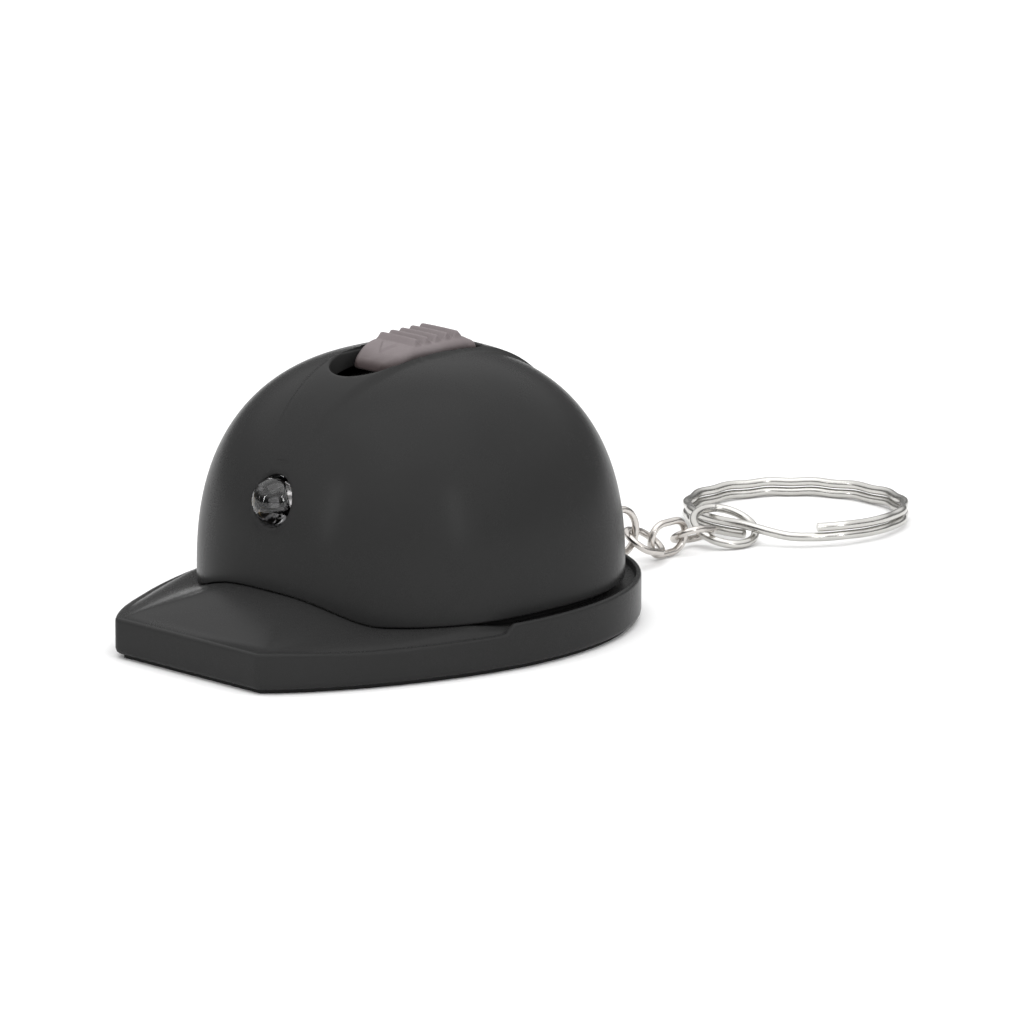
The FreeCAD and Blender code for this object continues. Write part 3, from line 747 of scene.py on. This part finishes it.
def neck_outline(inset):
    """The dome's plan, drawn in by inset, in step with the brim's plan."""
    points = []
    for (kind, count), first, last in zip(RUNS, NECK_TURNS, NECK_TURNS[1:]):
        points += [oval(mix(first, last, step / count), inset) for step in range(count)]
    return points


def rim_height(y):
    return RIM_LOW + RIM_LIFT * smooth((-y - RIM_LIFT_FROM) / 10)


def seat_height(x, y):
    """Height of the brim's top where the dome stands on it."""
    return mix(DOME_FOOT + arch(x) - SEAT_SINK, GUTTER, smooth((y - SEAT_FROM) / SEAT_RUN))


def make_brim(finish):
    def ring(inset, height):
        return [(x, y, height(x, y)) for x, y in brim_outline(inset)]

    def lip(y):
        return smooth((y - LIP_START + LIP_BLEND) / (2 * LIP_BLEND))

    foot = neck_outline(-FOOT_SPREAD)
    outer = brim_outline(RIM_WIDTH)

    def slope(share):
        """Between the rim and the dome's foot; a little fuller than a straight line."""
        points = []
        for (x0, y0), (x1, y1) in zip(outer, foot):
            low = mix(rim_height(y0), GUTTER, lip(y0))
            bulge = VISOR_BULGE * math.sin(math.pi * share) * (1 - lip(y0))
            x, y = mix(x0, x1, share), mix(y0, y1, share)
            points.append((x, y, mix(low, seat_height(x1, y1), share) + bulge))
        return points

    rings = [ring(RIM_WIDTH, lambda x, y: BRIM_FLOOR)]
    for inset, rise in ((0.62, 0.0), (0.34, 0.08), (0.16, 0.22), (0.05, 0.42), (0.0, 0.7)):
        rings.append(ring(inset, lambda x, y: BRIM_FLOOR + rise))
    for inset, drop in ((0.0, 0.36), (0.02, 0.22), (0.08, 0.10), (0.18, 0.02)):
        rings.append(ring(inset, lambda x, y: mix(rim_height(y), LIP_TOP, lip(y)) - drop))
    for inset, top in ((0.42, LIP_TOP), (0.52, LIP_TOP - 0.06), (0.57, LIP_TOP - 0.18), (0.6, GUTTER + 0.12),
                       (0.66, GUTTER + 0.03)):
        rings.append(ring(inset, lambda x, y: mix(rim_height(y) + 0.06 * inset, top, lip(y))))
    rings += [slope(step / SLOPE_STEPS) for step in range(SLOPE_STEPS + 1)]
    neck = neck_outline(NECK_GAP)
    throat = neck_outline(NECK_GAP + NECK_WALL)
    rings.append([(x, y, seat_height(x, y)) for x, y in neck])
    rings.append([(x, y, NECK_TOP) for x, y in neck])
    rings.append([(x, y, NECK_TOP) for x, y in throat])
    rings.append([(x, y, PLATE_TOP) for x, y in throat])
    rings.append(ring(RIM_WIDTH, lambda x, y: PLATE_TOP))
    shape = ring_skin(rings, True)
    soften_visor(shape, len(outer))
    add_piece("brim_moulding", as_mesh(shape, "brim_moulding"), "helmet", finish, ["brim"])

    add_piece("chain_lug", lug_mesh(), "helmet", finish)


def soften_visor(shape, around):
    """Eases the ridges that run from the brim's front corners to the dome."""
    shape.verts.ensure_lookup_table()
    first = around * FIRST_SLOPE_RING
    band = shape.verts[first:first + around * (SLOPE_STEPS - 1)]
    slope = [vert for vert in band if vert.co.y < VISOR_FROM * MM]
    for _ in range(SOFTEN_ROUNDS):
        bmesh.ops.smooth_vert(shape, verts=slope, factor=0.5, use_axis_x=False, use_axis_y=False,
                              use_axis_z=True)


def lug_mesh():
    """The tab behind the brim, with rounded edges and the hole for the chain."""
    corner = 0.07
    rings = []
    for inset, z in ((LUG_EDGE, LUG_LOW), (corner, LUG_LOW + corner), (0.0, LUG_LOW + LUG_EDGE),
                     (0.0, LUG_HIGH - LUG_EDGE), (corner, LUG_HIGH - corner), (LUG_EDGE, LUG_HIGH)):
        half = LUG_HALF - inset
        ring = [(-half, LUG_ROOT, z), (half, LUG_ROOT, z)]
        for step in range(33):
            angle = math.pi * step / 32
            ring.append((half * math.cos(angle), LUG_HOLE_Y + half * math.sin(angle), z))
        rings.append(ring)
    hole = []
    for radius, z in ((LUG_MOUTH, LUG_LOW - 0.3), (LUG_MOUTH_EDGE, LUG_LOW + 0.05),
                      (LUG_HOLE, LUG_LOW + LUG_EDGE), (LUG_HOLE, LUG_HIGH - LUG_EDGE),
                      (LUG_MOUTH_EDGE, LUG_HIGH - 0.05), (LUG_MOUTH, LUG_HIGH + 0.3)):
        hole.append([(x, y, z) for x, y in circle(0.0, LUG_HOLE_Y, radius)])
    blank = as_mesh(ring_skin(rings), "chain_lug")
    return carve(blank, [scratch_object(ring_skin(hole), "lug_cutter")], "chain_lug")


# ---------------------------------------------------------------- switch button

def button_height(x, y):
    """Height of the button's top: a drooping nose, a ramp, ridges and a falling tail."""
    valley = RIDGE_TOP - RIDGE_RISE
    last = RIDGE_FIRST + (RIDGE_COUNT - 1) * RIDGE_PITCH
    ramp = smooth((y - BUTTON_FRONT) / (RIDGE_FIRST - RAMP_GAP - BUTTON_FRONT))
    height = mix(valley - NOSE_DROP, valley, ramp) if y < 0 else valley
    height -= TAIL_DROP * smooth((y - last - TAIL_GAP) / (BUTTON_REAR - last - TAIL_GAP))
    height -= BUTTON_CUP * (x / BUTTON_HALF) ** 2
    across = smooth((RIDGE_HALF + RIDGE_END - abs(x)) / RIDGE_END_FADE)
    for number in range(RIDGE_COUNT):
        away = abs(y - RIDGE_FIRST - number * RIDGE_PITCH)
        height += RIDGE_RISE * across * min(max((RIDGE_BASE - away) / RIDGE_SLOPE, 0.0), 1.0)
    return height + ARROW_RISE * arrow(x, y)


def arrow(x, y):
    """A small raised triangle on the ramp that points forwards."""
    share = (y - ARROW_TIP) / (ARROW_BASE - ARROW_TIP)
    if not 0 < share < 1:
        return 0.0
    inside = ARROW_HALF * share - abs(x)
    return smooth(inside / ARROW_EDGE) * smooth((ARROW_BASE - y) / ARROW_EDGE)


def button_plan(x, y):
    """Pulls a square grid into the button's plan, with a round nose and small rear corners."""
    into = max(NOSE_LENGTH - (y - BUTTON_FRONT), 0.0)
    half = BUTTON_HALF - NOSE_LENGTH * NOSE_PINCH * (1 - math.sqrt(max(1 - (into / NOSE_LENGTH) ** 2, 0.0)))
    tail = max(TAIL_CORNER - (BUTTON_REAR - y), 0.0)
    half -= TAIL_CORNER * (1 - math.sqrt(max(1 - (tail / TAIL_CORNER) ** 2, 0.0)))
    return x * half


def make_button(finish):
    shape = bmesh.new()
    bmesh.ops.create_grid(shape, x_segments=72, y_segments=200, size=1.0)
    middle = 0.5 * (BUTTON_FRONT + BUTTON_REAR)
    reach = 0.5 * (BUTTON_REAR - BUTTON_FRONT)
    for vert in shape.verts:
        across = math.sin(0.5 * math.pi * vert.co.x)
        along = middle + reach * vert.co.y
        x = button_plan(across, along)
        side = BUTTON_HALF * (1 - abs(across))
        end = 1.5 * min(along - BUTTON_FRONT, BUTTON_REAR - along)
        near = min(side, end, BUTTON_ROUND) / BUTTON_ROUND
        fall = BUTTON_ROUND * (1 - math.sqrt(max(1 - (1 - near) ** 2, 0.0)))
        vert.co = Vector((x, along, button_height(x, along) - fall)) * MM
    rim = [edge for edge in shape.edges if edge.is_boundary]
    made = bmesh.ops.extrude_edge_only(shape, edges=rim)["geom"]
    for item in made:
        if isinstance(item, bmesh.types.BMVert):
            item.co.z = BUTTON_FLOOR * MM
    foot = [item for item in made if isinstance(item, bmesh.types.BMEdge)]
    bmesh.ops.holes_fill(shape, edges=foot, sides=0)
    bmesh.ops.recalc_face_normals(shape, faces=shape.faces)
    add_piece("button", as_mesh(shape, "button", 50), "slider", finish, ["switch_button"])


# ---------------------------------------------------------------- lamp

def make_lens(finish):
    """Cast lens with a domed nose, and a flange with a flat on top."""
    steps = 64
    profile = []
    arc = 24
    for step in range(1, arc + 1):
        angle = 0.5 * math.pi * step / arc
        profile.append((LAMP_RADIUS * math.sin(angle), LAMP_DOME_Y - LAMP_RADIUS * math.cos(angle)))
    edge = 0.08
    profile += [(LAMP_RADIUS, FLANGE_FRONT - 0.1), (LAMP_RADIUS + 0.05, FLANGE_FRONT - 0.02),
                (FLANGE_RADIUS - edge, FLANGE_FRONT), (FLANGE_RADIUS, FLANGE_FRONT + edge),
                (FLANGE_RADIUS, FLANGE_BACK - 0.1), (FLANGE_RADIUS - edge, FLANGE_BACK), (0.3, FLANGE_BACK)]
    rings = []
    for radius, y in profile:
        ring = []
        for step in range(steps):
            angle = 2 * math.pi * step / steps
            z = min(radius * math.sin(angle), LAMP_RADIUS)
            ring.append((radius * math.cos(angle), y, LAMP_AXIS + z))
        rings.append(ring)
    add_piece("lens", as_mesh(ring_skin(rings), "lens"), "helmet", finish, ["led_lens"])


# ---------------------------------------------------------------- chain

def turn(degrees, axis):
    return Matrix.Rotation(math.radians(degrees), 4, axis)


def ring_matrix(name):
    """A ring starts flat with its length along +Y, rolls about it, dips its far end and heads off."""
    centre, heading, dip, roll = LINKS[name]
    pose = turn(heading, "Z") @ turn(-dip, "X") @ turn(roll, "Y") @ turn(90, "Z")
    return Matrix.Translation(Vector(centre) * MM) @ pose


def wire(name, points, radius, cyclic, node, body, finish):
    """Round wire along points given in a ring's own frame."""
    curve = bpy.data.curves.new(name, "CURVE")
    curve.dimensions = "3D"
    curve.bevel_depth = radius * MM
    curve.bevel_resolution = 6
    curve.use_fill_caps = not cyclic
    spline = curve.splines.new("POLY")
    spline.points.add(len(points) - 1)
    for item, point in zip(spline.points, points):
        item.co = (*(Vector(point) * MM), 1)
    spline.use_cyclic_u = cyclic
    bent = bpy.data.objects.new(name, curve)
    bpy.context.scene.collection.objects.link(bent)
    mesh = bpy.data.meshes.new_from_object(bent.evaluated_get(bpy.context.evaluated_depsgraph_get()))
    bpy.data.objects.remove(bent)
    mesh.transform(ring_matrix(node))
    add_piece(name, shade(mesh, 50), body, finish, [node])


def oblong_points():
    """Centreline of an oblong link."""
    points = []
    steps = 40
    for side in (1, -1):
        for step in range(steps + 1):
            angle = math.pi * (step / steps - 0.5)
            points.append((side * (LINK_STRAIGHT + LINK_ROUND * math.cos(angle)),
                           side * LINK_ROUND * math.sin(angle), 0.0))
    return points


def round_points(radius, first, last, steps=120):
    angles = [mix(first, last, step / steps) for step in range(steps + 1)]
    return [(radius * math.cos(angle), radius * math.sin(angle), 0.0) for angle in angles]


def split_ring_points():
    """Nearly two turns of crimped wire, with a short crossing from the upper to the lower turn."""
    hooked = math.radians(272)
    steps = 620
    points = []
    for step in range(steps + 1):
        angle = mix(SPLIT_START, SPLIT_END, step / steps)
        across = smooth((angle - SPLIT_CROSS_FROM) / (SPLIT_CROSS_TO - SPLIT_CROSS_FROM))
        away = abs((angle - hooked + math.pi) % (2 * math.pi) - math.pi)
        crimp = RIPPLE * smooth((away - 0.45) / 0.3) * math.sin(RIPPLE_COUNT * angle)
        reach = SPLIT_RADIUS + crimp
        points.append((reach * math.cos(angle), reach * math.sin(angle),
                       SPLIT_PITCH * (0.5 - across) + RIPPLE_LIFT * crimp))
    return points


def make_chain(link_nickel, ring_nickel):
    hoop = round_points(HOOP_RADIUS, 0, 2 * math.pi)[:-1]
    wire("lug_link", hoop, LINK_WIRE, True, "chain_link_a", "link_a", link_nickel)
    for letter in "bcd":
        wire("oblong_link_" + letter, oblong_points(), LINK_WIRE, True, "chain_link_" + letter,
             "link_" + letter, link_nickel)
    jump = round_points(JUMP_RADIUS, 0.5 * math.pi + JUMP_PARTING, 2.5 * math.pi - JUMP_PARTING)
    wire("jump_hoop", jump, JUMP_WIRE, False, "jump_ring", "jump", ring_nickel)
    wire("key_hoop", split_ring_points(), SPLIT_WIRE, False, "split_ring", "keyring", ring_nickel)


# ---------------------------------------------------------------- the parts kept from the frame

def dress(finish, *names):
    for name in names:
        node = NODES[name]
        node.data.materials.clear()
        node.data.materials.append(finish.material)


def dress_nodes(housing):
    dress(housing, "base_plate")
    dress(inner_finish("carrier_plastic", 0.03, 0.5), "switch_carrier", "switch_bridge", "battery_cradle")
    dress(inner_finish("gasket_nylon", 0.09, 0.45), "cell_gaskets")
    bronze = metal_finish("spring_bronze", (0.55, 0.4, 0.2), (0.74, 0.58, 0.34), 0.25)
    dress(bronze, "switch_contact", "contact_strip_front", "contact_strip_rear", "positive_contact",
          "negative_contact")
    steel = metal_finish("cell_steel", (0.5, 0.5, 0.51), (0.66, 0.66, 0.67), 0.22)
    for place in ("front", "middle", "rear"):
        dress(steel, "cell_can_" + place, "cell_cap_" + place)
    dress(metal_finish("screw_zinc", (0.42, 0.43, 0.45), (0.62, 0.63, 0.65), 0.3), "base_screws",
          "cradle_screws", "bridge_screws")
    dress(metal_finish("tinned_lead", (0.6, 0.59, 0.58), (0.82, 0.81, 0.8), 0.2), "led_anvil_lead",
          "led_post_lead")
    dress(inner_finish("phosphor_die", 0.6, 0.4), "led_chip")


make_camera()
make_studio()
housing = housing_finish()
make_dome(housing)
make_pillars(housing)
make_brim(housing)
make_button(button_finish())
make_lens(lens_finish())
make_chain(nickel_finish("link_nickel", (0.62, 0.59, 0.56), 0.18),
           nickel_finish("ring_nickel", (0.60, 0.59, 0.565), 0.17))
dress_nodes(housing)
